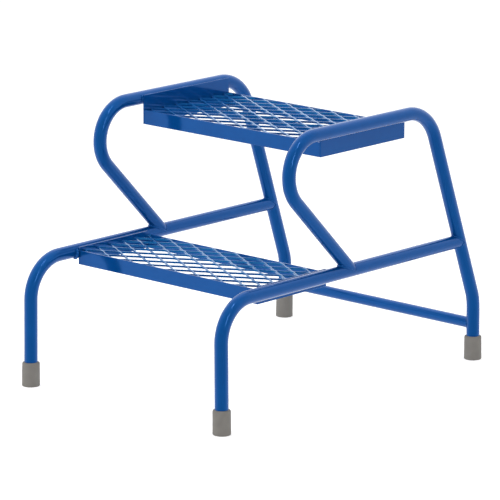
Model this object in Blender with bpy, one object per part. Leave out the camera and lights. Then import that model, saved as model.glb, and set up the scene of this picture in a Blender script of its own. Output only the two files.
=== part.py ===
"""Two-step mounting block: two bent-tube side frames, a cross tube, two mesh treads and four feet.

Frame: origin on the floor under the middle of the object, +Y from the rider's side (low tread) to the
back (high tread), +X to the right when facing +Y, +Z up. Metres.
"""

import math

import bmesh
import bpy
from mathutils import Vector

MM = 0.001
GAP = 0.3 * MM  # clearance left between touching pieces

# Bent tubes of the side frames
TUBE_OD = 25.4 * MM
TUBE_WALL = 1.6 * MM
TUBE_SIDES = 16
BEND_STEPS = 7
LOW_RAIL_Z = 238.2 * MM
TOP_RAIL_Z = 504.7 * MM
KNEE_Z = 118.5 * MM  # where the sloping back leg turns vertical
LEG_SPACING = 710.4 * MM  # front leg to back leg, along Y
RISER_FOOT = 352.1 * MM  # behind the front leg, where the riser stands on the low rail
TOP_FRONT_CORNER = 86.0 * MM  # virtual corners of the upper tube, behind the front leg
TOP_BACK_CORNER = 572.7 * MM
FRONT_BEND = 73.1 * MM  # centreline bend radii
NOSE_BEND = 68.3 * MM
BACK_BEND = 82.6 * MM
KNEE_BEND = 94.8 * MM
HALF_WIDTH_AT_FLOOR = 241.4 * MM  # tube centreline to the middle plane
LEAN = 0.01237  # the side frames lean inwards by this much for each unit of height

# Cross tube between the back legs
CROSS_OD = 21.3 * MM
CROSS_WALL = 1.5 * MM
CROSS_Z = 69.4 * MM

# Rubber feet, each with a steel washer under the tube end
FOOT_HEIGHT = 46.0 * MM
FOOT_TOP_OD = 33.0 * MM
FOOT_BASE_OD = 33.6 * MM
FOOT_RIM = 3.4 * MM  # height of the rounded rim
FOOT_FLOOR = 6.0 * MM  # rubber below the washer
FOOT_HEEL = 1.5 * MM  # bevel round the bottom
FOOT_BORE = TUBE_OD + 2.8 * GAP  # clears the tube, which the foot grips
WASHER_OD = 25.0 * MM
WASHER_HOLE = 9.0 * MM
WASHER_THICK = 1.5 * MM

# Treads: distances behind the front leg along Y, heights above the floor. pattern is how far the
# mesh's diamonds stand from the middle of the tread, along X and Y.
SHEET = 3.0 * MM  # thickness of rails and end plates
UPPER_TREAD = {
    "front": 284.6 * MM,
    "back": 521.4 * MM,
    "base": 457.0 * MM,
    "rail_top": 484.4 * MM,
    "plate_top": 512.6 * MM,
    "tube_z": TOP_RAIL_Z,
    "pattern": (2.9 * MM, -4.1 * MM),
}
LOWER_TREAD = {
    "front": 112.0 * MM,
    "back": 299.0 * MM,
    "base": 215.0 * MM,
    "rail_top": 242.0 * MM,
    "plate_top": 248.0 * MM,
    "tube_z": LOW_RAIL_Z,
    "pattern": (7.4 * MM, 12.0 * MM),
}
CENTRE_BAR_HEIGHT = 13.0 * MM
CENTRE_BAR_THICK = 5.0 * MM

# Flattened expanded metal
MESH_LONG_WAY = 57.0 * MM  # diamond pitch along X
MESH_SHORT_WAY = 33.8 * MM  # diamond pitch along Y
STRAND_WIDTH = 3.0 * MM
STRAND_THICK = 3.6 * MM
KNUCKLE = 6.5 * MM  # length of each bond along X

# Places worked out from the sizes above
FRONT_LEG_Y = -LEG_SPACING / 2
TUBE_END_Z = FOOT_FLOOR + WASHER_THICK + 2 * GAP
COPE_REACH = 60.0 * MM  # how far each cope cutter runs past the joint, along the tube it stands for


def half_width(z):
    """Distance of a side frame's centreline from the middle plane at a height."""
    return HALF_WIDTH_AT_FLOOR - LEAN * z


def clear_scene():
    for obj in list(bpy.data.objects):
        bpy.data.objects.remove(obj, do_unlink=True)


def material(name, colour, roughness, metallic):
    made = bpy.data.materials.new(name)
    made.use_nodes = True
    shader = made.node_tree.nodes["Principled BSDF"]
    shader.inputs["Base Color"].default_value = (*colour, 1.0)
    shader.inputs["Roughness"].default_value = roughness
    shader.inputs["Metallic"].default_value = metallic
    return made


def add_object(name, mesh, look):
    made = bpy.data.objects.new(name, mesh)
    mesh.materials.append(look)
    bpy.context.scene.collection.objects.link(made)
    return made


def finish_mesh(name, bm):
    bmesh.ops.recalc_face_normals(bm, faces=bm.faces)
    mesh = bpy.data.meshes.new(name)
    bm.to_mesh(mesh)
    bm.free()
    return mesh


def filleted(corners, radii):
    """Points of a polyline whose inner corners are rounded, each corner with its own radius."""
    points = [Vector(corners[0])]
    for before, corner, after, radius in zip(corners, corners[1:], corners[2:], radii):
        into = (Vector(corner) - Vector(before)).normalized()
        out = (Vector(after) - Vector(corner)).normalized()
        turn = into.angle(out)
        start = Vector(corner) - into * radius * math.tan(turn / 2)
        side = (out - into * into.dot(out)).normalized()
        for step in range(BEND_STEPS + 1):
            angle = turn * step / BEND_STEPS
            points.append(start + into * radius * math.sin(angle) + side * radius * (1 - math.cos(angle)))
    points.append(Vector(corners[-1]))
    return points


def sweep_tube(name, points, across, od, wall, look):
    """A hollow tube with open ends along a flat path. across is the direction square to the path's plane."""
    bm = bmesh.new()
    rings = []
    for index, point in enumerate(points):
        before = points[max(index - 1, 0)]
        after = points[min(index + 1, len(points) - 1)]
        tangent = (after - before).normalized()
        side = tangent.cross(across).normalized()
        flat = side.cross(tangent)
        turn = 0.0
        if 0 < index < len(points) - 1:
            turn = (point - before).angle(after - point)
        stretch = 1 / math.cos(turn / 2)
        for radius in (od / 2, od / 2 - wall):
            ring = []
            for corner in range(TUBE_SIDES):
                angle = 2 * math.pi * (corner + 0.5) / TUBE_SIDES
                offset = side * math.cos(angle) * stretch + flat * math.sin(angle)
                ring.append(bm.verts.new(point + offset * radius))
            rings.append(ring)
    outer = rings[0::2]
    inner = rings[1::2]
    for corner in range(TUBE_SIDES):
        after = (corner + 1) % TUBE_SIDES
        for near, far in zip(outer, outer[1:]):
            bm.faces.new((near[corner], near[after], far[after], far[corner]))
        for near, far in zip(inner, inner[1:]):
            bm.faces.new((near[after], near[corner], far[corner], far[after]))
        for end in (0, -1):
            bm.faces.new((outer[end][corner], outer[end][after], inner[end][after], inner[end][corner]))
    mesh = finish_mesh(name, bm)
    mesh.shade_smooth()
    mesh.set_sharp_from_angle(angle=math.radians(40))
    return add_object(name, mesh, look)


def frame_point(side, y, z):
    """A point on a side frame's leaning plane. y is measured from the front leg."""
    return Vector((side * half_width(z), FRONT_LEG_Y + y, z))


def frame_across(side):
    """Direction square to a side frame's plane."""
    return Vector((1.0, 0.0, side * LEAN)).normalized()


def cutter(name, start, end, radius):
    """A hidden closed cylinder that copes a tube end round its neighbour."""
    bm = bmesh.new()
    axis = end - start
    turn = axis.to_track_quat("Z", "Y").to_matrix().to_4x4()
    turn.translation = (start + end) / 2
    bmesh.ops.create_cone(
        bm,
        cap_ends=True,
        segments=2 * TUBE_SIDES,
        radius1=radius,
        radius2=radius,
        depth=axis.length,
        matrix=turn,
    )
    made = bpy.data.objects.new(name, finish_mesh(name, bm))
    bpy.context.scene.collection.objects.link(made)
    made.hide_render = True
    made.display_type = "WIRE"
    return made


def cope(tube, tool):
    cut = tube.modifiers.new("cope", "BOOLEAN")
    cut.operation = "DIFFERENCE"
    cut.object = tool


def back_leg_y(z):
    """Place of the sloping back leg's centreline at a height, measured from the front leg."""
    rise = (TOP_RAIL_Z - z) / (TOP_RAIL_Z - KNEE_Z)
    return TOP_BACK_CORNER + (LEG_SPACING - TOP_BACK_CORNER) * rise


def lower_tube(name, side, look):
    """Front leg and low rail, bent from one tube, its back end coped onto the back leg."""
    corners = [
        (0.0, TUBE_END_Z),
        (0.0, LOW_RAIL_Z),
        (back_leg_y(LOW_RAIL_Z), LOW_RAIL_Z),
    ]
    points = [frame_point(side, *point) for point in filleted(corners, [FRONT_BEND])]
    made = sweep_tube(name, points, frame_across(side), TUBE_OD, TUBE_WALL, look)
    low = LOW_RAIL_Z - COPE_REACH
    high = LOW_RAIL_Z + COPE_REACH
    leg = cutter(
        name + "_cutter",
        frame_point(side, back_leg_y(low), low),
        frame_point(side, back_leg_y(high), high),
        TUBE_OD / 2 + GAP,
    )
    cope(made, leg)
    return made


def upper_tube(name, side, look):
    """Riser, top rail and back leg, bent from one tube, its lower end coped onto the low rail."""
    corners = [
        (RISER_FOOT, LOW_RAIL_Z),
        (TOP_FRONT_CORNER, TOP_RAIL_Z),
        (TOP_BACK_CORNER, TOP_RAIL_Z),
        (LEG_SPACING, KNEE_Z),
        (LEG_SPACING, TUBE_END_Z),
    ]
    bends = [NOSE_BEND, BACK_BEND, KNEE_BEND]
    points = [frame_point(side, *point) for point in filleted(corners, bends)]
    made = sweep_tube(name, points, frame_across(side), TUBE_OD, TUBE_WALL, look)
    rail = cutter(
        name + "_cutter",
        frame_point(side, RISER_FOOT - COPE_REACH, LOW_RAIL_Z),
        frame_point(side, RISER_FOOT + COPE_REACH, LOW_RAIL_Z),
        TUBE_OD / 2 + GAP,
    )
    cope(made, rail)
    return made


def cross_tube(name, look):
    """Straight tube between the back legs, just above the feet, coped onto both legs."""
    ends = [frame_point(side, LEG_SPACING, CROSS_Z) for side in (-1, 1)]
    made = sweep_tube(name, ends, Vector((0, 1, 0)), CROSS_OD, CROSS_WALL, look)
    for side, label in ((-1, "left"), (1, "right")):
        leg = cutter(
            f"{name}_{label}_cutter",
            frame_point(side, LEG_SPACING, CROSS_Z - COPE_REACH / 2),
            frame_point(side, LEG_SPACING, CROSS_Z + COPE_REACH / 2),
            TUBE_OD / 2 + GAP,
        )
        cope(made, leg)
    return made


def block(name, low, high, look):
    """A plain flat bar or plate between two corners."""
    bm = bmesh.new()
    bmesh.ops.create_cube(bm, size=1.0)
    size = Vector(high) - Vector(low)
    bmesh.ops.scale(bm, vec=size, verts=bm.verts)
    bmesh.ops.translate(bm, vec=(Vector(high) + Vector(low)) / 2, verts=bm.verts)
    return add_object(name, finish_mesh(name, bm), look)


def expanded_mesh(name, low, high, top, pattern, look):
    """Expanded metal between two corners of a rectangle: zigzag strands that lie side by side at knuckles.

    A row touches the row behind it at every second knuckle, and the row in front at those between.
    """
    row_pitch = MESH_SHORT_WAY / 2
    half_pitch = MESH_LONG_WAY / 2
    swing = (row_pitch - STRAND_WIDTH) / 2
    middle_x = (low[0] + high[0]) / 2 + pattern[0]
    middle_y = (low[1] + high[1]) / 2 + pattern[1]
    rows = math.ceil((high[1] - low[1]) / 2 / row_pitch) + 2
    columns = math.ceil((high[0] - low[0]) / 2 / half_pitch) + 2
    bm = bmesh.new()
    for row in range(-rows, rows + 1):
        rings = []
        for column in range(-columns, columns + 1):
            reach = swing if (row + column) % 2 == 0 else -swing
            y = middle_y + row * row_pitch + reach
            front = y - STRAND_WIDTH / 2
            back = y + STRAND_WIDTH / 2
            for shift in (-KNUCKLE / 2, KNUCKLE / 2):
                x = middle_x + column * half_pitch + shift
                outline = ((front, top - STRAND_THICK), (back, top - STRAND_THICK), (back, top), (front, top))
                rings.append([bm.verts.new((x, *corner)) for corner in outline])
        for number, (near, far) in enumerate(zip(rings, rings[1:])):
            column = number // 2 - columns
            bonded_edge = 1 if (row + column) % 2 == 0 else 3
            neighbour = row + 1 if bonded_edge == 1 else row - 1
            bonded = number % 2 == 0 and abs(neighbour) <= rows
            for edge in range(4):
                after = (edge + 1) % 4
                if not (bonded and edge == bonded_edge):
                    bm.faces.new((near[edge], near[after], far[after], far[edge]))
        bm.faces.new(rings[0])
        bm.faces.new(rings[-1])
    bmesh.ops.remove_doubles(bm, verts=bm.verts, dist=0.01 * MM)
    trim(bm, low, high)
    keep_largest(bm)
    return add_object(name, finish_mesh(name, bm), look)


def trim(bm, low, high):
    """Cuts a mesh off square at the four sides of a rectangle and closes each cut."""
    sides = (
        ((low[0], 0, 0), (-1, 0, 0)),
        ((high[0], 0, 0), (1, 0, 0)),
        ((0, low[1], 0), (0, -1, 0)),
        ((0, high[1], 0), (0, 1, 0)),
    )
    for point, outward in sides:
        everything = bm.verts[:] + bm.edges[:] + bm.faces[:]
        cut = bmesh.ops.bisect_plane(
            bm, geom=everything, dist=1e-7, plane_co=point, plane_no=outward, clear_outer=True
        )
        rim = [edge for edge in cut["geom_cut"] if isinstance(edge, bmesh.types.BMEdge)]
        bmesh.ops.holes_fill(bm, edges=rim, sides=0)


def keep_largest(bm):
    """Removes clippings that the trim left loose, so that the panel stays one body."""
    waiting = set(bm.verts)
    bodies = []
    while waiting:
        body = {waiting.pop()}
        edge_of_search = list(body)
        while edge_of_search:
            vert = edge_of_search.pop()
            for edge in vert.link_edges:
                other = edge.other_vert(vert)
                if other in waiting:
                    waiting.discard(other)
                    body.add(other)
                    edge_of_search.append(other)
        bodies.append(body)
    bodies.sort(key=len)
    for body in bodies[:-1]:
        bmesh.ops.delete(bm, geom=list(body), context="VERTS")


def tread(label, sizes, looks):
    """A tray: front and back rails between two taller end plates, with the mesh between them."""
    outer = half_width(sizes["tube_z"]) - TUBE_OD / 2 - GAP
    inner = outer - SHEET
    front = FRONT_LEG_Y + sizes["front"]
    back = FRONT_LEG_Y + sizes["back"]
    base = sizes["base"]
    spans = {"left": (-outer, -inner), "right": (inner, outer)}
    for name, (left, right) in spans.items():
        low = (left, front, base)
        high = (right, back, sizes["plate_top"])
        block(f"{label}_tread_{name}_end_plate", low, high, looks["steel"])
    reach = inner - GAP
    rails = {"front": (front, front + SHEET), "back": (back - SHEET, back)}
    for name, (near, far) in rails.items():
        low = (-reach, near, base)
        high = (reach, far, sizes["rail_top"])
        block(f"{label}_tread_{name}_rail", low, high, looks["rail"])
    low = (-reach, front + SHEET + GAP)
    high = (reach, back - SHEET - GAP)
    expanded_mesh(f"{label}_tread_mesh", low, high, sizes["rail_top"], sizes["pattern"], looks["mesh"])


def centre_bar(name, sizes, look):
    """Stiffener across the middle of the upper tread, under its mesh."""
    reach = half_width(sizes["tube_z"]) - TUBE_OD / 2 - SHEET - 2 * GAP
    middle = FRONT_LEG_Y + (sizes["front"] + sizes["back"]) / 2
    top = sizes["rail_top"] - STRAND_THICK - GAP
    low = (-reach, middle - CENTRE_BAR_THICK / 2, top - CENTRE_BAR_HEIGHT)
    high = (reach, middle + CENTRE_BAR_THICK / 2, top)
    return block(name, low, high, look)


def turned(name, profile, place, lean, look):
    """A ring or cup turned about an axis that leans along X, from a closed (radius, height) profile."""
    steps = 28
    bm = bmesh.new()
    rings = []
    for radius, height in profile:
        shift = lean * height
        if radius == 0.0:
            rings.append([bm.verts.new((shift, 0.0, height))] * steps)
            continue
        ring = []
        for step in range(steps):
            angle = 2 * math.pi * step / steps
            ring.append(bm.verts.new((shift + radius * math.cos(angle), radius * math.sin(angle), height)))
        rings.append(ring)
    for near, far in zip(rings, rings[1:] + rings[:1]):
        for step in range(steps):
            after = (step + 1) % steps
            corners = []
            for vert in (near[step], near[after], far[after], far[step]):
                if vert not in corners:
                    corners.append(vert)
            if len(corners) > 2:
                bm.faces.new(corners)
    mesh = finish_mesh(name, bm)
    mesh.shade_smooth()
    mesh.set_sharp_from_angle(angle=math.radians(40))
    made = add_object(name, mesh, look)
    made.location = place
    return made


def foot(label, side, y, looks):
    """Rubber ferrule pushed onto a tube end, and the steel washer that spreads the tube's load in it."""
    place = Vector((side * half_width(0.0), FRONT_LEG_Y + y, 0.0))
    lean = -side * LEAN
    bore = FOOT_BORE / 2
    top = FOOT_TOP_OD / 2
    base = FOOT_BASE_OD / 2
    cup = [
        (0.0, 0.0),
        (base - FOOT_HEEL, 0.0),
        (base, FOOT_HEEL),
        (top, FOOT_HEIGHT - FOOT_RIM),
        (top - 0.3 * FOOT_RIM, FOOT_HEIGHT - 0.3 * FOOT_RIM),
        (bore + 0.2 * MM, FOOT_HEIGHT),
        (bore, FOOT_HEIGHT - 0.2 * MM),
        (bore, FOOT_FLOOR),
        (0.0, FOOT_FLOOR),
    ]
    turned(f"{label}_foot", cup, place, lean, looks["rubber"])
    under = FOOT_FLOOR + GAP
    above = under + WASHER_THICK - GAP / 2
    ring = [
        (WASHER_HOLE / 2, under),
        (WASHER_OD / 2, under),
        (WASHER_OD / 2, above),
        (WASHER_HOLE / 2, above),
    ]
    turned(f"{label}_foot_washer", ring, place, lean, looks["zinc"])


def main():
    clear_scene()
    looks = {
        "steel": material("blue powder coat", (0.015, 0.085, 0.36), 0.25, 0.0),
        "rail": material("blue powder coat, rails", (0.015, 0.085, 0.36), 0.3, 0.0),
        "mesh": material("blue powder coat, mesh", (0.03, 0.13, 0.45), 0.3, 0.0),
        "rubber": material("grey rubber", (0.26, 0.24, 0.22), 0.75, 0.0),
        "zinc": material("zinc plate", (0.6, 0.6, 0.62), 0.35, 1.0),
    }
    for side, label in ((-1, "left"), (1, "right")):
        lower_tube(f"{label}_lower_frame_tube", side, looks["steel"])
        upper_tube(f"{label}_upper_frame_tube", side, looks["steel"])
        foot(f"{label}_front", side, 0.0, looks)
        foot(f"{label}_back", side, LEG_SPACING, looks)
    cross_tube("back_cross_tube", looks["steel"])
    tread("lower", LOWER_TREAD, looks)
    tread("upper", UPPER_TREAD, looks)
    centre_bar("upper_tread_centre_bar", UPPER_TREAD, looks["rail"])


main()
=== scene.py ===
"""Two-step mounting block: the finished surfaces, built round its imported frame.

Left and right are as seen when facing +Y, from the low tread at the front to the high tread at the
back. Lengths are in metres.
"""

import math

import bmesh
import bpy
from bpy.props import FloatProperty, FloatVectorProperty, PointerProperty
from mathutils import Matrix, Vector


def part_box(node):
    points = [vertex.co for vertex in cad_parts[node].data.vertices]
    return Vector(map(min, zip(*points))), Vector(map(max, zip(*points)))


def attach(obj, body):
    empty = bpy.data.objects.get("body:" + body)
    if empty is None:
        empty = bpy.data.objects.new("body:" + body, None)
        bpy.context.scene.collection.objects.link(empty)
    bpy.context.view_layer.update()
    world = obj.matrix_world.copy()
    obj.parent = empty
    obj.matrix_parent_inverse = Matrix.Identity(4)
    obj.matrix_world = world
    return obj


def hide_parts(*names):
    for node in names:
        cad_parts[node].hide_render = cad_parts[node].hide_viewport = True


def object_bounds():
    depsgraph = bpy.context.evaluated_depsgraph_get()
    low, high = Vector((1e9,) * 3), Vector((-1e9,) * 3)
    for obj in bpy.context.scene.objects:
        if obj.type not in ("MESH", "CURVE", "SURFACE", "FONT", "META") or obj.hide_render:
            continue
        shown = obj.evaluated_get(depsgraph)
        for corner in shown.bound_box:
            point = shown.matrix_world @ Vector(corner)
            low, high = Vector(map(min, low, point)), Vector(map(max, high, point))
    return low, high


bl_info = {
    "name": "Mounting Block",
    "version": (1, 0, 0),
    "blender": (4, 5, 0),
    "location": "View3D > Sidebar > Mounting Block",
    "description": "Builds a two-step tubular mounting block with expanded metal treads",
    "category": "Object",
}

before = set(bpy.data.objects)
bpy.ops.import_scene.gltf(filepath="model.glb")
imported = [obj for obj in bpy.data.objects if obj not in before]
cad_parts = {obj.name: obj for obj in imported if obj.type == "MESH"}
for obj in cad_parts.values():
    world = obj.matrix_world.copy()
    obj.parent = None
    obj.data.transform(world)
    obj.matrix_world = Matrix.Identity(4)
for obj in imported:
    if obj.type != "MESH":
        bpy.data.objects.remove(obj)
CAD_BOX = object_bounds()

SIDES = {"left": -1, "right": 1}
TREADS = ("lower", "upper")
ROOT = "root"


# Driving sizes and colours


def size(name, description, default):
    return FloatProperty(name=name, description=description, default=default, min=0.0, unit="LENGTH")


def offset(name, description, default):
    return FloatVectorProperty(name=name, description=description, default=default, size=2, unit="LENGTH")


def colour(name, description, default):
    return FloatVectorProperty(
        name=name, description=description, default=default, size=3, min=0.0, max=1.0, subtype="COLOR"
    )


class FrameSizes(bpy.types.PropertyGroup):
    """Bent tubes of the two side frames and the cross tube."""

    tube: size("Tube", "Outside diameter of the side frame tubes", 0.0254)
    cross: size("Cross tube", "Outside diameter of the tube between the back legs", 0.0213)
    low_rail: size("Low rail", "Height of the low rail's centreline", 0.2382)
    top_rail: size("Top rail", "Height of the top rail's centreline", 0.5047)
    knee: size("Knee", "Height where the back leg turns upright", 0.1185)
    cross_height: size("Cross height", "Height of the cross tube's centreline", 0.0694)
    riser: size("Riser", "Foot of the riser, behind the front leg", 0.3521)
    nose: size("Nose", "Corner that the nose bend rounds, behind the front leg", 0.0860)
    shoulder: size("Shoulder", "Corner that the back bend rounds, behind the front leg", 0.5727)
    front_bend: size("Front bend", "Centreline radius above the front leg", 0.0731)
    nose_bend: size("Nose bend", "Centreline radius at the front of the top rail", 0.0683)
    back_bend: size("Back bend", "Centreline radius at the back of the top rail", 0.0826)
    knee_bend: size("Knee bend", "Centreline radius at the foot of the back leg", 0.0948)


class TreadSizes(bpy.types.PropertyGroup):
    """Flat bar and expanded metal of the treads."""

    edge: size("Edge", "Rounding that the coating leaves on flat bar edges", 0.0007)
    long_way: size("Long way", "Diamond pitch across the tread", 0.0570)
    short_way: size("Short way", "Diamond pitch from front to back", 0.0338)
    strand: size("Strand", "Width of each strand, seen from above", 0.0030)
    gauge: size("Gauge", "Thickness of the expanded sheet", 0.0036)
    knuckle: size("Knuckle", "Length of each bond between strands", 0.0065)
    lower_pattern: offset("Lower pattern", "Shift of the lower tread's diamonds", (0.0074, 0.0120))
    upper_pattern: offset("Upper pattern", "Shift of the upper tread's diamonds", (0.0029, -0.0041))
    bead: size("Bead", "Radius of the weld beads", 0.0022)


class FootSizes(bpy.types.PropertyGroup):
    """Rubber feet."""

    rim: size("Rim", "Rounding of the foot's top rim", 0.0034)
    heel: size("Heel", "Rounding of the foot's bottom edge", 0.0016)
    groove: size("Groove", "Depth of the grip rings moulded under the foot", 0.0008)


class Finishes(bpy.types.PropertyGroup):
    """Colours of the finishes and the stage."""

    paint: colour("Paint", "Blue powder coat", (0.001, 0.057, 0.205))
    paint_deep: colour("Deep paint", "The same coat where it lies thicker", (0.001, 0.050, 0.183))
    # The two mesh colours are the same blue coat made lighter, a painted sheen for the light that the
    # strands' edges catch. A cloud texture mixes them at random. They are not laid in corners or over edges.
    mesh_paint: colour("Mesh paint", "The coat on the mesh, thin over its edges", (0.009, 0.105, 0.310))
    mesh_deep_painted_sheen: colour("Deep mesh paint", "The same coat in the mesh's corners", (0.006, 0.072, 0.235))
    rubber: colour("Rubber", "Moulded rubber feet", (0.168, 0.160, 0.146))
    zinc: colour("Zinc", "Plated washers", (0.60, 0.60, 0.62))
    floor: colour("Floor", "Studio floor", (0.90, 0.90, 0.90))


# Finishes

COAT_IOR = 2.15  # higher than a real coat's, for its strong gloss


def link_noise(tree, scale, detail, height):
    """A noise texture in the object's own space. height places the node in the editor."""
    place = tree.nodes.new("ShaderNodeTexCoord")
    noise = tree.nodes.new("ShaderNodeTexNoise")
    noise.inputs["Scale"].default_value = scale
    noise.inputs["Detail"].default_value = detail
    place.location = (-900, height)
    noise.location = (-700, height)
    tree.links.new(place.outputs["Object"], noise.inputs["Vector"])
    return noise


def link_range(tree, source, low, high):
    """Maps a texture's middle values onto a range."""
    spread = tree.nodes.new("ShaderNodeMapRange")
    spread.inputs["From Min"].default_value = 0.3
    spread.inputs["From Max"].default_value = 0.7
    spread.inputs["To Min"].default_value = low
    spread.inputs["To Max"].default_value = high
    spread.location = (-400, source.node.location.y)
    tree.links.new(source, spread.inputs["Value"])
    return spread.outputs["Result"]


def link_bump(tree, shader, layers):
    """Chains bump layers of (texture output, strength, depth) into the shader's normal."""
    normal = None
    for height, strength, depth in layers:
        bump = tree.nodes.new("ShaderNodeBump")
        bump.inputs["Strength"].default_value = strength
        bump.inputs["Distance"].default_value = depth
        tree.links.new(height, bump.inputs["Height"])
        if normal:
            tree.links.new(normal, bump.inputs["Normal"])
        normal = bump.outputs["Normal"]
    tree.links.new(normal, shader.inputs["Normal"])


def link_two_tone(tree, shader, source, first, second):
    """Mixes two close colours by a texture into the base colour."""
    mix = tree.nodes.new("ShaderNodeMix")
    mix.data_type = "RGBA"
    mix.inputs["A"].default_value = (*first, 1.0)
    mix.inputs["B"].default_value = (*second, 1.0)
    tree.links.new(source, mix.inputs["Factor"])
    tree.links.new(mix.outputs["Result"], shader.inputs["Base Color"])


def new_finish(name):
    made = bpy.data.materials.new(name)
    made.use_nodes = True
    return made, made.node_tree, made.node_tree.nodes["Principled BSDF"]


def powder_coat(name, peel, orange, gloss, paint="paint", deep="paint_deep", tint=(0.05, 0.27, 1.0)):
    """Glossy blue powder coat. orange is its orange peel's texture scale, gloss its range of roughness."""
    finish = bpy.context.scene.block_finishes
    paint = getattr(finish, paint)
    deep = getattr(finish, deep)
    made, tree, shader = new_finish(name)
    cloud = link_noise(tree, 22.0, 3.0, 300)
    link_two_tone(tree, shader, link_range(tree, cloud.outputs["Fac"], 0.0, 1.0), paint, deep)
    patch = link_noise(tree, 60.0, 4.0, 0)
    tree.links.new(link_range(tree, patch.outputs["Fac"], *gloss), shader.inputs["Roughness"])
    waves = link_noise(tree, orange, 2.0, -300)
    grain = link_noise(tree, orange * 4, 3.0, -600)
    link_bump(
        tree, shader, [(waves.outputs["Fac"], peel, 0.0008), (grain.outputs["Fac"], peel * 0.4, 0.0002)]
    )
    shader.inputs["IOR"].default_value = COAT_IOR
    shader.inputs["Specular Tint"].default_value = (*tint, 1.0)
    return made


def rubber(name):
    """Moulded grey rubber with a fine matt grain and faint cloudy bloom."""
    finish = bpy.context.scene.block_finishes
    made, tree, shader = new_finish(name)
    bloom = link_noise(tree, 70.0, 5.0, 300)
    paler = [channel * 1.16 for channel in finish.rubber]
    link_two_tone(tree, shader, link_range(tree, bloom.outputs["Fac"], 0.0, 1.0), finish.rubber, paler)
    patch = link_noise(tree, 140.0, 3.0, 0)
    tree.links.new(link_range(tree, patch.outputs["Fac"], 0.55, 0.75), shader.inputs["Roughness"])
    grain = link_noise(tree, 1800.0, 3.0, -300)
    swell = link_noise(tree, 160.0, 2.0, -600)
    link_bump(
        tree, shader, [(swell.outputs["Fac"], 0.25, 0.0006), (grain.outputs["Fac"], 0.35, 0.0002)]
    )
    return made


def zinc_plate(name):
    """Bright zinc plating with a faint spangle."""
    finish = bpy.context.scene.block_finishes
    made, tree, shader = new_finish(name)
    spangle = link_noise(tree, 400.0, 2.0, 300)
    dull = [channel * 0.8 for channel in finish.zinc]
    link_two_tone(tree, shader, link_range(tree, spangle.outputs["Fac"], 0.0, 1.0), finish.zinc, dull)
    tree.links.new(link_range(tree, spangle.outputs["Fac"], 0.3, 0.45), shader.inputs["Roughness"])
    link_bump(tree, shader, [(spangle.outputs["Fac"], 0.2, 0.0002)])
    shader.inputs["Metallic"].default_value = 1.0
    return made


FINISHES = {
    "tube coat": lambda: powder_coat("tube coat", 0.06, 260.0, (0.12, 0.17)),
    "bar coat": lambda: powder_coat("bar coat", 0.05, 240.0, (0.07, 0.11)),
    # The mesh's coat uses the lightened mesh colours, a painted sheen on the strands.
    "mesh coat with painted sheen": lambda: powder_coat(
        "mesh coat with painted sheen", 0.12, 420.0, (0.14, 0.20), "mesh_paint", "mesh_deep_painted_sheen", (0.03, 0.45, 1.0)
    ),
    "weld coat": lambda: powder_coat("weld coat", 0.25, 700.0, (0.14, 0.22)),
    "foot rubber": lambda: rubber("foot rubber"),
    "washer zinc": lambda: zinc_plate("washer zinc"),
}


def finish_named(name):
    return bpy.data.materials.get(name) or FINISHES[name]()


# Mesh helpers

SHARP_ANGLE = math.radians(35)
PATH_STEPS = {"lower": 22, "upper": 26}  # points round each bend of a side frame's tubes
TUBE_SIDES = 48
CROSS_TUBE_SIDES = 40


def add_piece(name, bm, finish, node=None):
    """Adds a finished piece that rides on the frame and, where a node is named, stands for it."""
    bmesh.ops.recalc_face_normals(bm, faces=bm.faces)
    mesh = bpy.data.meshes.new(name)
    bm.to_mesh(mesh)
    bm.free()
    mesh.shade_smooth()
    mesh.set_sharp_from_angle(angle=SHARP_ANGLE)
    mesh.materials.append(finish_named(finish))
    piece = bpy.data.objects.new(name, mesh)
    bpy.context.scene.collection.objects.link(piece)
    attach(piece, ROOT)
    if node:
        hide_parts(node)
    return piece


def filleted(corners, radii, steps):
    """Points of a polyline whose inner corners are rounded, each corner with its own radius."""
    points = [Vector(corners[0])]
    for before, corner, after, radius in zip(corners, corners[1:], corners[2:], radii):
        into = (Vector(corner) - Vector(before)).normalized()
        out = (Vector(after) - Vector(corner)).normalized()
        turn = into.angle(out)
        start = Vector(corner) - into * radius * math.tan(turn / 2)
        side = (out - into * into.dot(out)).normalized()
        for step in range(steps + 1):
            angle = turn * step / steps
            points.append(start + into * radius * math.sin(angle) + side * radius * (1 - math.cos(angle)))
    points.append(Vector(corners[-1]))
    return points


def ring_frames(points, closed):
    """Tangent, side and up directions at each point of a path, turned along it with no twist."""
    count = len(points)
    frames = []
    side = None
    for index, point in enumerate(points):
        if closed:
            before = points[index - 1]
            after = points[(index + 1) % count]
        else:
            before = points[max(index - 1, 0)]
            after = points[min(index + 1, count - 1)]
        tangent = (after - before).normalized()
        if side is None:
            side = tangent.orthogonal()
        side = (side - tangent * tangent.dot(side)).normalized()
        frames.append((tangent, side, tangent.cross(side)))
    return frames


def sweep(bm, points, radius, sides, closed=False, ripple=None):
    """Sweeps a circle along points. ripple gives a factor on the radius from the distance along the path."""
    rings = []
    travelled = 0.0
    for index, (tangent, side, up) in enumerate(ring_frames(points, closed)):
        if index:
            travelled += (points[index] - points[index - 1]).length
        reach = radius * (ripple(travelled) if ripple else 1.0)
        ring = []
        for corner in range(sides):
            angle = 2 * math.pi * corner / sides
            ring.append(bm.verts.new(points[index] + (side * math.cos(angle) + up * math.sin(angle)) * reach))
        rings.append(ring)
    pairs = list(zip(rings, rings[1:]))
    if closed:
        pairs.append((rings[-1], aligned(rings[0], rings[-1])))
    for near, far in pairs:
        for corner in range(sides):
            after = (corner + 1) % sides
            bm.faces.new((near[corner], near[after], far[after], far[corner]))
    if not closed:
        bm.faces.new(rings[0])
        bm.faces.new(rings[-1])


def aligned(ring, guide):
    """A closed sweep's first ring, its corners counted from the one nearest the last ring's first."""
    start = min(range(len(ring)), key=lambda corner: (ring[corner].co - guide[0].co).length)
    return ring[start:] + ring[:start]


# Side frames


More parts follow.
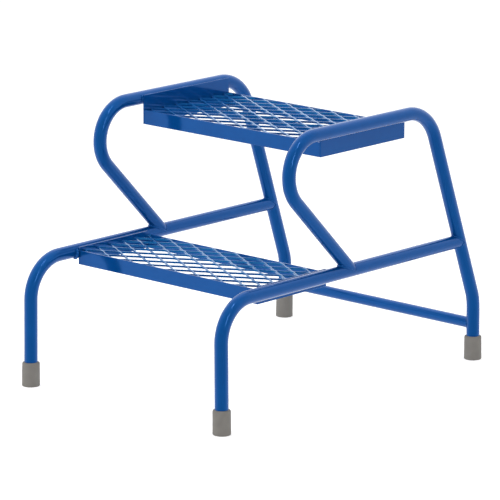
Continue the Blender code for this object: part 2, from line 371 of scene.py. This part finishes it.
def frame_layout():
    """Where the side frames stand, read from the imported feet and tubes."""
    sizes = bpy.context.scene.block_frame
    foot_low, foot_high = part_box("right_front_foot")
    back_low, back_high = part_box("right_back_foot")
    tube_low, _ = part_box("right_upper_frame_tube")
    floor_half = (foot_low.x + foot_high.x) / 2
    top_half = tube_low.x + sizes.tube / 2
    return {
        "front": (foot_low.y + foot_high.y) / 2,
        "back": (back_low.y + back_high.y) / 2,
        "half": floor_half,
        "lean": (floor_half - top_half) / sizes.top_rail,
        "end": tube_low.z,
    }


def frame_point(side, y, z):
    """A point on a side frame's leaning plane. y is measured from the front leg."""
    layout = frame_layout()
    return Vector((side * (layout["half"] - layout["lean"] * z), layout["front"] + y, z))


def leg_spacing():
    layout = frame_layout()
    return layout["back"] - layout["front"]


def back_leg_y(z):
    """Place of the sloping back leg's centreline at a height, measured from the front leg."""
    sizes = bpy.context.scene.block_frame
    fall = (sizes.top_rail - z) / (sizes.top_rail - sizes.knee)
    return sizes.shoulder + (leg_spacing() - sizes.shoulder) * fall


def lower_path(side):
    sizes = bpy.context.scene.block_frame
    end = frame_layout()["end"]
    corners = [(0.0, end), (0.0, sizes.low_rail), (back_leg_y(sizes.low_rail), sizes.low_rail)]
    return [frame_point(side, *point) for point in filleted(corners, [sizes.front_bend], PATH_STEPS["lower"])]


def upper_path(side):
    sizes = bpy.context.scene.block_frame
    end = frame_layout()["end"]
    corners = [
        (sizes.riser, sizes.low_rail),
        (sizes.nose, sizes.top_rail),
        (sizes.shoulder, sizes.top_rail),
        (leg_spacing(), sizes.knee),
        (leg_spacing(), end),
    ]
    bends = [sizes.nose_bend, sizes.back_bend, sizes.knee_bend]
    return [frame_point(side, *point) for point in filleted(corners, bends, PATH_STEPS["upper"])]


def build_side_frames():
    sizes = bpy.context.scene.block_frame
    paths = {"lower": lower_path, "upper": upper_path}
    for label, side in SIDES.items():
        for level, path in paths.items():
            bm = bmesh.new()
            sweep(bm, path(side), sizes.tube / 2, TUBE_SIDES)
            node = f"{label}_{level}_frame_tube"
            add_piece(f"{node}_coated", bm, "tube coat", node)


def build_cross_tube():
    sizes = bpy.context.scene.block_frame
    ends = [frame_point(side, leg_spacing(), sizes.cross_height) for side in (-1, 1)]
    bm = bmesh.new()
    sweep(bm, ends, sizes.cross / 2, CROSS_TUBE_SIDES)
    add_piece("back_cross_tube_coated", bm, "tube coat", "back_cross_tube")


# Treads

STRAND_EASE = 0.15  # how much of a strand's path eases in and out of its bonds
STRAND_BEND = 0.72  # how far from its middle toward each bond a strand's path turns
WELD_DEPTH = Vector((0.0008, 0.0008, 0.0))  # how far the mesh runs into the bars round it
MESH_EDGE = 0.0007  # rounding that the coating leaves on the strands


def rounded_bar(node):
    """Flat bar with the soft edges that a thick coating leaves, filling a node's box."""
    sizes = bpy.context.scene.block_treads
    low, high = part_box(node)
    bm = bmesh.new()
    bmesh.ops.create_cube(bm, size=1.0)
    bmesh.ops.scale(bm, vec=high - low, verts=bm.verts)
    bmesh.ops.translate(bm, vec=(low + high) / 2, verts=bm.verts)
    bmesh.ops.bevel(bm, geom=bm.edges[:], offset=sizes.edge, segments=3, profile=0.5, affect="EDGES")
    piece = add_piece(f"{node}_coated", bm, "bar coat", node)
    flatten = piece.modifiers.new("flat faces", "WEIGHTED_NORMAL")
    flatten.keep_sharp = True


def strand_swing(share):
    """Shape of a strand between two knuckles, from 1 to -1, easing in and out of each bond."""
    along = min(max(share, 0.0), 1.0)
    smooth = 3 * along**2 - 2 * along**3
    return 1.0 - 2.0 * ((1.0 - STRAND_EASE) * along + STRAND_EASE * smooth)


def expanded_metal(bm, low, high, pattern):
    """Rows of zigzag strands over a rectangle. Each lies beside its neighbours at the knuckles."""
    sizes = bpy.context.scene.block_treads
    row_pitch = sizes.short_way / 2
    half_pitch = sizes.long_way / 2
    swing = (row_pitch - sizes.strand) / 2
    middle = (low + high) / 2 + Vector((*pattern, 0.0))
    rows = math.ceil((high.y - low.y) / 2 / row_pitch) + 2
    columns = math.ceil((high.x - low.x) / 2 / half_pitch) + 2
    bond = sizes.knuckle / half_pitch / 2
    bend = (0.5 - bond) * STRAND_BEND
    shares = (-bond, bond, 0.5 - bend, 0.5, 0.5 + bend)
    under = high.z - sizes.gauge
    for row in range(-rows, rows + 1):
        rings = []
        for column in range(-columns, columns + 1):
            sign = 1 if (row + column) % 2 == 0 else -1
            for share in shares:
                x = middle.x + (column + share) * half_pitch
                reach = sign * swing * strand_swing((share - bond) / (1 - 2 * bond))
                y = middle.y + row * row_pitch + reach
                near = y - sizes.strand / 2
                far = y + sizes.strand / 2
                outline = ((near, under), (far, under), (far, high.z), (near, high.z))
                rings.append([bm.verts.new((x, *corner)) for corner in outline])
        for number, (near, far) in enumerate(zip(rings, rings[1:])):
            column = number // len(shares) - columns
            bonded_edge = 1 if (row + column) % 2 == 0 else 3
            neighbour = row + 1 if bonded_edge == 1 else row - 1
            bonded = number % len(shares) == 0 and abs(neighbour) <= rows
            for edge in range(4):
                after = (edge + 1) % 4
                if not (bonded and edge == bonded_edge):
                    bm.faces.new((near[edge], near[after], far[after], far[edge]))
        bm.faces.new(rings[0])
        bm.faces.new(rings[-1])
    bmesh.ops.remove_doubles(bm, verts=bm.verts, dist=0.00001)


def trim(bm, low, high):
    """Cuts a mesh off square at the four sides of a rectangle and closes each cut."""
    sides = (
        ((low.x, 0, 0), (-1, 0, 0)),
        ((high.x, 0, 0), (1, 0, 0)),
        ((0, low.y, 0), (0, -1, 0)),
        ((0, high.y, 0), (0, 1, 0)),
    )
    for point, outward in sides:
        everything = bm.verts[:] + bm.edges[:] + bm.faces[:]
        cut = bmesh.ops.bisect_plane(
            bm, geom=everything, dist=1e-7, plane_co=point, plane_no=outward, clear_outer=True
        )
        rim = [edge for edge in cut["geom_cut"] if isinstance(edge, bmesh.types.BMEdge)]
        bmesh.ops.holes_fill(bm, edges=rim, sides=0)


def build_mesh_panel(level):
    """One tread's expanded metal, its strands running into the flat bars that it is welded to."""
    node = f"{level}_tread_mesh"
    low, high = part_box(node)
    bm = bmesh.new()
    expanded_metal(bm, low, high, getattr(bpy.context.scene.block_treads, f"{level}_pattern"))
    trim(bm, low - WELD_DEPTH, high + WELD_DEPTH)
    piece = add_piece(f"{node}_coated", bm, "mesh coat with painted sheen", node)
    soften = piece.modifiers.new("coated edges", "BEVEL")
    soften.width = MESH_EDGE
    soften.segments = 3
    soften.limit_method = "ANGLE"
    soften.angle_limit = math.radians(40)


def build_treads():
    for level in TREADS:
        for bar in ("front_rail", "back_rail", "left_end_plate", "right_end_plate"):
            rounded_bar(f"{level}_tread_{bar}")
        build_mesh_panel(level)
    rounded_bar("upper_tread_centre_bar")


# Feet

FOOT_TURNS = 64
FOOT_TAPER = 0.0003  # how much smaller the top's radius is than the base's
LIP = 0.0003  # flat between the bore and the round of the rim
RING_START = 0.0040
RING_PITCH = 0.0035
RING_SHAPE = ((0.0, 0.0), (0.0004, 1.0), (0.0011, 1.0), (0.0015, 0.0))  # way across, share of the depth


def turned(bm, profile, centre, lean, steps):
    """Turns a closed (radius, height) profile about an axis that leans along X."""
    rings = []
    for radius, height in profile:
        middle = Vector((centre.x + lean * height, centre.y, height))
        if radius == 0.0:
            rings.append([bm.verts.new(middle)] * steps)
            continue
        ring = []
        for step in range(steps):
            angle = 2 * math.pi * step / steps
            ring.append(bm.verts.new(middle + Vector((math.cos(angle), math.sin(angle), 0.0)) * radius))
        rings.append(ring)
    for near, far in zip(rings, rings[1:] + rings[:1]):
        for step in range(steps):
            after = (step + 1) % steps
            corners = []
            for vert in (near[step], near[after], far[after], far[step]):
                if vert not in corners:
                    corners.append(vert)
            if len(corners) > 2:
                bm.faces.new(corners)


def foot_profile(low, high, top_radius, bore):
    """Outline of a rubber ferrule: grip rings under it, a round heel, a slight taper and a round rim."""
    sizes = bpy.context.scene.block_feet
    base = (high.x - low.x) / 2
    height = high.z
    profile = [(0.0, 0.0)]
    for ring in range(3):
        near = RING_START + ring * RING_PITCH
        profile += [(near + way, share * sizes.groove) for way, share in RING_SHAPE]
    for step in range(6):
        angle = math.pi / 2 * step / 5
        turn = base - sizes.heel + sizes.heel * math.sin(angle)
        profile.append((turn, sizes.heel * (1 - math.cos(angle))))
    across = top_radius - bore - LIP
    for step in range(8):
        angle = math.pi / 2 * step / 7
        turn = bore + LIP + across * math.cos(angle)
        profile.append((turn, height - sizes.rim * (1 - math.sin(angle))))
    profile += [(bore, height - 0.0004), (bore, height / 2), (0.0, height / 2)]
    return profile


def build_feet():
    sizes = bpy.context.scene.block_frame
    layout = frame_layout()
    for label, side in SIDES.items():
        for end in ("front", "back"):
            node = f"{label}_{end}_foot"
            low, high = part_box(node)
            centre = (low + high) / 2
            bm = bmesh.new()
            bore = sizes.tube / 2 - 0.0002
            profile = foot_profile(low, high, (high.x - low.x) / 2 - FOOT_TAPER, bore)
            turned(bm, profile, centre, -side * layout["lean"], FOOT_TURNS)
            add_piece(f"{node}_moulded", bm, "foot rubber", node)
            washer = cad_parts[f"{node}_washer"]
            washer.data.materials.clear()
            washer.data.materials.append(finish_named("washer zinc"))


# Welds

PUDDLE = 0.0045  # distance between a bead's puddles
STITCH_PUDDLE = 0.0042
STITCH_REACH = 0.012  # half the length of a stitch
STITCH_RISE = 0.006  # stitches lie this far above and below the rail's centreline
STITCH_PLACES = (0.10, 0.50, 0.90)  # along an end plate
CORNER_BEAD = 0.0011
CORNER_INSET = 0.0008
END_BEADS = {  # lowest and highest angle round the tube, and radius
    "lower": (-70, 30, 0.0045),
    "upper": (-15, 38, 0.0024),
}


def seam_round(centre, along, radius, post_way, post_radius, steps=72):
    """The closed line where a tube that runs along a direction meets a post through the same centre."""
    first = along.orthogonal().normalized()
    second = along.cross(first).normalized()
    points = []
    for step in range(steps):
        angle = 2 * math.pi * step / steps
        start = centre + (first * math.cos(angle) + second * math.sin(angle)) * radius
        offset = start - centre
        offset -= post_way * offset.dot(post_way)
        travel = along - post_way * along.dot(post_way)
        a = travel.dot(travel)
        b = 2 * offset.dot(travel)
        c = offset.dot(offset) - post_radius**2
        root = max(b * b - 4 * a * c, 0.0)
        points.append(start + along * (-b + math.sqrt(root)) / (2 * a))
    return points


def rippled(pitch, depth):
    """Radius factor of a bead laid in overlapping puddles."""
    return lambda travelled: 1.0 - depth * abs(math.sin(math.pi * travelled / pitch)) ** 3


def fuller_in_front(line, pitch, depth):
    """Radius factor of a rippled bead that fills the sharp corner at its front and thins out behind."""
    ripple = rippled(pitch, depth)
    front = min(point.y for point in line)
    back = max(point.y for point in line)
    travels = [0.0]
    for before, after in zip(line, line[1:]):
        travels.append(travels[-1] + (after - before).length)

    def factor(travelled):
        nearest = min(range(len(line)), key=lambda index: abs(travels[index] - travelled))
        share = (back - line[nearest].y) / (back - front)
        return ripple(travelled) * (0.5 + 1.3 * share**3)

    return factor


def build_frame_welds():
    """Beads round each riser, each low rail's back end and each end of the cross tube."""
    sizes = bpy.context.scene.block_frame
    bead = bpy.context.scene.block_treads.bead
    radius = sizes.tube / 2
    for label, side in SIDES.items():
        leg_top = frame_point(side, back_leg_y(sizes.low_rail), sizes.low_rail)
        leg_way = (frame_point(side, back_leg_y(sizes.knee), sizes.knee) - leg_top).normalized()
        riser_foot = frame_point(side, sizes.riser, sizes.low_rail)
        rise = sizes.top_rail - sizes.low_rail
        riser_top = frame_point(side, sizes.nose, sizes.top_rail)
        riser_way = (riser_top - riser_foot).normalized()
        cross_end = frame_point(side, leg_spacing(), sizes.cross_height)
        upright = (frame_point(side, 0.0, rise) - frame_point(side, 0.0, 0.0)).normalized()
        seams = {
            "riser": (riser_foot, riser_way, radius, Vector((0, 1, 0))),
            "low_rail": (leg_top, Vector((0, -1, 0)), radius, leg_way),
            "cross_tube": (cross_end, Vector((-side, 0, 0)), sizes.cross / 2, upright),
        }
        for name, (centre, along, tube, post_way) in seams.items():
            bm = bmesh.new()
            line = seam_round(centre, along, tube, post_way, radius)
            if name == "riser":
                sweep(bm, line, bead, 12, closed=True, ripple=fuller_in_front(line, PUDDLE, 0.14))
            else:
                sweep(bm, line, bead * 0.75, 12, closed=True, ripple=rippled(PUDDLE, 0.18))
            add_piece(f"{label}_{name}_weld", bm, "weld coat")


def laid_bead(bm, points, radius):
    """One bead along a line of points, with tapering ends."""
    length = sum((after - before).length for before, after in zip(points, points[1:]))
    ripple = rippled(STITCH_PUDDLE, 0.2)

    def swell(travelled):
        share = min(travelled / length, 1.0)
        ends = max(math.sin(math.pi * min(max(share, 0.02), 0.98)), 0.0) ** 0.35
        return ripple(travelled) * ends

    sweep(bm, points, radius, 10, ripple=swell)


def stitch(bm, start, end, radius):
    """One short straight bead."""
    laid_bead(bm, [start.lerp(end, step / 26) for step in range(27)], radius)


def plate_end_bead(bm, level, side, plate_front, height):
    """The heavy bead that ties an end plate's front edge to the round of the tube."""
    sizes = bpy.context.scene.block_frame
    low_angle, high_angle, radius = END_BEADS[level]
    centre = frame_point(side, plate_front - radius * 0.7, height)
    points = []
    for step in range(25):
        angle = math.radians(low_angle + (high_angle - low_angle) * step / 24)
        reach = sizes.tube / 2 + radius * 0.25
        outward = Vector((-side * math.cos(angle), 0.0, math.sin(angle)))
        points.append(centre + outward * reach)
    laid_bead(bm, points, radius)


def build_tread_welds():
    """Stitches that hold the end plates to the tubes, and the seams at each corner of the trays."""
    sizes = bpy.context.scene.block_frame
    bead = bpy.context.scene.block_treads.bead
    rail_height = {"lower": sizes.low_rail, "upper": sizes.top_rail}
    for level in TREADS:
        bm = bmesh.new()
        height = rail_height[level]
        for label, side in SIDES.items():
            low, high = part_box(f"{level}_tread_{label}_end_plate")
            outer = high.x if side > 0 else low.x
            inner = low.x if side > 0 else high.x
            for z in (min(high.z, height + STITCH_RISE), height - STITCH_RISE):
                for share in STITCH_PLACES:
                    middle = low.y + (high.y - low.y) * share
                    start = Vector((outer + side * bead * 0.5, middle - STITCH_REACH, z))
                    end = Vector((outer + side * bead * 0.5, middle + STITCH_REACH, z))
                    stitch(bm, start, end, bead)
            plate_end_bead(bm, level, side, low.y - frame_layout()["front"], height)
            rail_low, rail_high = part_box(f"{level}_tread_front_rail")
            for y in (low.y + CORNER_INSET, high.y - CORNER_INSET):
                start = Vector((inner, y, rail_low.z + 0.001))
                end = Vector((inner, y, rail_high.z - 0.001))
                stitch(bm, start, end, CORNER_BEAD)
        add_piece(f"{level}_tread_welds", bm, "weld coat")


# Stage

AMBIENT = 0.59  # strength of the surround as it lights the object
BACKDROP_WAY = (-0.66, 0.73, 0.18)  # from the object toward the backdrop
MIRROR_SHADES = (  # place from front to backdrop, and brightness in the gloss
    (0.0, 0.7),
    (0.28, 0.85),
    (0.42, 1.2),
    (0.55, 1.0),
    (0.72, 1.2),
    (1.0, 1.5),
)
FLOOR_HALF = 6.0
LIGHT_AIM = (0.0, 0.0, 0.3)
STRIP_WIDTH = 0.09
WARM = (1.0, 0.50, 0.35)
SOFT_LIGHTS = {  # place, width and power
    "key": ((-2.2, -2.9, 2.6), 1.6, 54.0),
    "overhead": ((0.0, 0.4, 3.2), 2.4, 60.0),
}
STRIPS = {  # place, height and power
    "low strip": ((2.64, -1.36, 1.75), 1.5, 18.0),
    "high strip": ((1.15, -0.70, 2.95), 1.1, 13.0),
}


def build_floor():
    finish = bpy.context.scene.block_finishes
    low, _ = CAD_BOX
    bm = bmesh.new()
    bmesh.ops.create_grid(bm, x_segments=8, y_segments=8, size=FLOOR_HALF)
    bmesh.ops.translate(bm, vec=(0.0, 0.0, low.z), verts=bm.verts)
    mesh = bpy.data.meshes.new("floor")
    bm.to_mesh(mesh)
    bm.free()
    made, tree, shader = new_finish("studio floor")
    shade = link_noise(tree, 0.8, 2.0, 0)
    second = [channel * 0.99 for channel in finish.floor]
    link_two_tone(tree, shader, shade.outputs["Fac"], finish.floor, second)
    shader.inputs["Roughness"].default_value = 0.9
    shader.inputs["Specular IOR Level"].default_value = 0.0
    shader.inputs["Emission Color"].default_value = (1.0, 1.0, 1.0, 1.0)
    shader.inputs["Emission Strength"].default_value = 0.40
    mesh.materials.append(made)
    floor = bpy.data.objects.new("floor", mesh)
    bpy.context.scene.collection.objects.link(floor)
    floor.visible_glossy = False


def add_area_light(name, place, width, height, power, tint=(1.0, 1.0, 1.0)):
    light = bpy.data.lights.new(name, "AREA")
    light.shape = "RECTANGLE"
    light.size = width
    light.size_y = height
    light.energy = power
    light.color = tint
    lamp = bpy.data.objects.new(name, light)
    lamp.location = place
    lamp.rotation_euler = (Vector(LIGHT_AIM) - Vector(place)).to_track_quat("-Z", "Y").to_euler()
    bpy.context.scene.collection.objects.link(lamp)
    return lamp


def white_shade(tree, strength):
    shade = tree.nodes.new("ShaderNodeBackground")
    shade.inputs["Color"].default_value = (1.0, 1.0, 1.0, 1.0)
    shade.inputs["Strength"].default_value = strength
    return shade


def build_world():
    """White surround. What the gloss mirrors is bright behind the object and darker in front of it."""
    world = bpy.data.worlds.new("studio")
    bpy.context.scene.world = world
    world.use_nodes = True
    tree = world.node_tree
    tree.nodes.clear()
    out = tree.nodes.new("ShaderNodeOutputWorld")
    seen = white_shade(tree, 1.0)
    lit = white_shade(tree, AMBIENT)
    mirrored = white_shade(tree, 1.0)
    path = tree.nodes.new("ShaderNodeLightPath")
    place = tree.nodes.new("ShaderNodeTexCoord")
    toward_back = tree.nodes.new("ShaderNodeVectorMath")
    toward_back.operation = "DOT_PRODUCT"
    toward_back.inputs[1].default_value = BACKDROP_WAY
    ramp = tree.nodes.new("ShaderNodeValToRGB")
    first, last = ramp.color_ramp.elements[:]
    for element, (_, grey) in ((first, MIRROR_SHADES[0]), (last, MIRROR_SHADES[-1])):
        element.color = (grey, grey, grey, 1.0)
    for stop, grey in MIRROR_SHADES[1:-1]:
        ramp.color_ramp.elements.new(stop).color = (grey, grey, grey, 1.0)
    spread = tree.nodes.new("ShaderNodeMapRange")
    spread.inputs["From Min"].default_value = -1.0
    tree.links.new(place.outputs["Generated"], toward_back.inputs[0])
    tree.links.new(toward_back.outputs["Value"], spread.inputs["Value"])
    tree.links.new(spread.outputs["Result"], ramp.inputs["Fac"])
    tree.links.new(ramp.outputs["Color"], mirrored.inputs["Color"])
    by_gloss = tree.nodes.new("ShaderNodeMixShader")
    by_eye = tree.nodes.new("ShaderNodeMixShader")
    tree.links.new(path.outputs["Is Glossy Ray"], by_gloss.inputs["Fac"])
    tree.links.new(lit.outputs["Background"], by_gloss.inputs[1])
    tree.links.new(mirrored.outputs["Background"], by_gloss.inputs[2])
    tree.links.new(path.outputs["Is Camera Ray"], by_eye.inputs["Fac"])
    tree.links.new(by_gloss.outputs["Shader"], by_eye.inputs[1])
    tree.links.new(seen.outputs["Background"], by_eye.inputs[2])
    tree.links.new(by_eye.outputs["Shader"], out.inputs["Surface"])


def build_lights():
    """Two soft lights that the gloss doesn't mirror, and two strips that only it does."""
    for name, (place, width, power) in SOFT_LIGHTS.items():
        soft = add_area_light(name, place, width, width, power)
        soft.visible_glossy = False
    for name, (place, height, power) in STRIPS.items():
        strip = add_area_light(name, place, STRIP_WIDTH, height, power, WARM)
        strip.visible_diffuse = False


def build_camera():
    camera = bpy.data.cameras.new("camera")
    camera.lens = 280.64
    camera.sensor_width = 36.0
    camera.clip_end = 60.0
    azimuth = math.radians(42.083)
    elevation = math.radians(13.460)
    roll = math.radians(0.190)
    distance = 7.267
    aim = Vector((0.0195, -0.0363, 0.2459))
    level = math.cos(elevation)
    forward = Vector((-math.sin(azimuth) * level, math.cos(azimuth) * level, -math.sin(elevation)))
    right = Vector((math.cos(azimuth), math.sin(azimuth), 0.0))
    up = right.cross(forward)
    rolled_right = right * math.cos(roll) + up * math.sin(roll)
    rolled_up = up * math.cos(roll) - right * math.sin(roll)
    turn = Matrix((rolled_right, rolled_up, -forward)).transposed()
    stand = bpy.data.objects.new("camera", camera)
    stand.matrix_world = Matrix.Translation(aim - forward * distance) @ turn.to_4x4()
    bpy.context.scene.collection.objects.link(stand)
    bpy.context.scene.camera = stand


def build_stage():
    build_floor()
    build_world()
    build_lights()
    build_camera()
    bpy.context.scene.view_settings.view_transform = "Standard"


# Operators and panel


class BLOCK_OT_side_frames(bpy.types.Operator):
    """Build the four bent tubes of the side frames"""

    bl_idname = "block.side_frames"
    bl_label = "Side Frames"

    def execute(self, context):
        build_side_frames()
        return {"FINISHED"}


class BLOCK_OT_cross_tube(bpy.types.Operator):
    """Build the cross tube between the back legs"""

    bl_idname = "block.cross_tube"
    bl_label = "Cross Tube"

    def execute(self, context):
        build_cross_tube()
        return {"FINISHED"}


class BLOCK_OT_treads(bpy.types.Operator):
    """Build both treads: rails, end plates, centre bar and expanded metal"""

    bl_idname = "block.treads"
    bl_label = "Treads"

    def execute(self, context):
        build_treads()
        return {"FINISHED"}


class BLOCK_OT_feet(bpy.types.Operator):
    """Build the rubber feet and finish their washers"""

    bl_idname = "block.feet"
    bl_label = "Feet"

    def execute(self, context):
        build_feet()
        return {"FINISHED"}


class BLOCK_OT_welds(bpy.types.Operator):
    """Build the weld beads of the frame and the treads"""

    bl_idname = "block.welds"
    bl_label = "Welds"

    def execute(self, context):
        build_frame_welds()
        build_tread_welds()
        return {"FINISHED"}


class BLOCK_OT_stage(bpy.types.Operator):
    """Build the floor, the surround, the lights and the camera"""

    bl_idname = "block.stage"
    bl_label = "Stage"

    def execute(self, context):
        build_stage()
        return {"FINISHED"}


class BLOCK_PT_panel(bpy.types.Panel):
    """Lists the mounting block's build steps and sizes"""

    bl_idname = "BLOCK_PT_panel"
    bl_label = "Mounting Block"
    bl_space_type = "VIEW_3D"
    bl_region_type = "UI"
    bl_category = "Mounting Block"

    def draw(self, context):
        for operator in OPERATORS:
            self.layout.operator(operator.bl_idname)
        for name in GROUPS:
            group = getattr(context.scene, name)
            box = self.layout.box()
            for field in group.bl_rna.properties:
                if field.identifier not in ("rna_type", "name"):
                    box.prop(group, field.identifier)


GROUPS = {
    "block_frame": FrameSizes,
    "block_treads": TreadSizes,
    "block_feet": FootSizes,
    "block_finishes": Finishes,
}
OPERATORS = (
    BLOCK_OT_side_frames,
    BLOCK_OT_cross_tube,
    BLOCK_OT_treads,
    BLOCK_OT_feet,
    BLOCK_OT_welds,
    BLOCK_OT_stage,
)


def register():
    for cls in (*GROUPS.values(), *OPERATORS, BLOCK_PT_panel):
        bpy.utils.register_class(cls)
    for name, cls in GROUPS.items():
        setattr(bpy.types.Scene, name, PointerProperty(type=cls))


def unregister():
    for name in GROUPS:
        delattr(bpy.types.Scene, name)
    for cls in reversed((*GROUPS.values(), *OPERATORS, BLOCK_PT_panel)):
        bpy.utils.unregister_class(cls)


def main():
    register()
    bpy.ops.block.side_frames()
    bpy.ops.block.cross_tube()
    bpy.ops.block.treads()
    bpy.ops.block.feet()
    bpy.ops.block.welds()
    bpy.ops.block.stage()


if __name__ == "__main__":
    main()
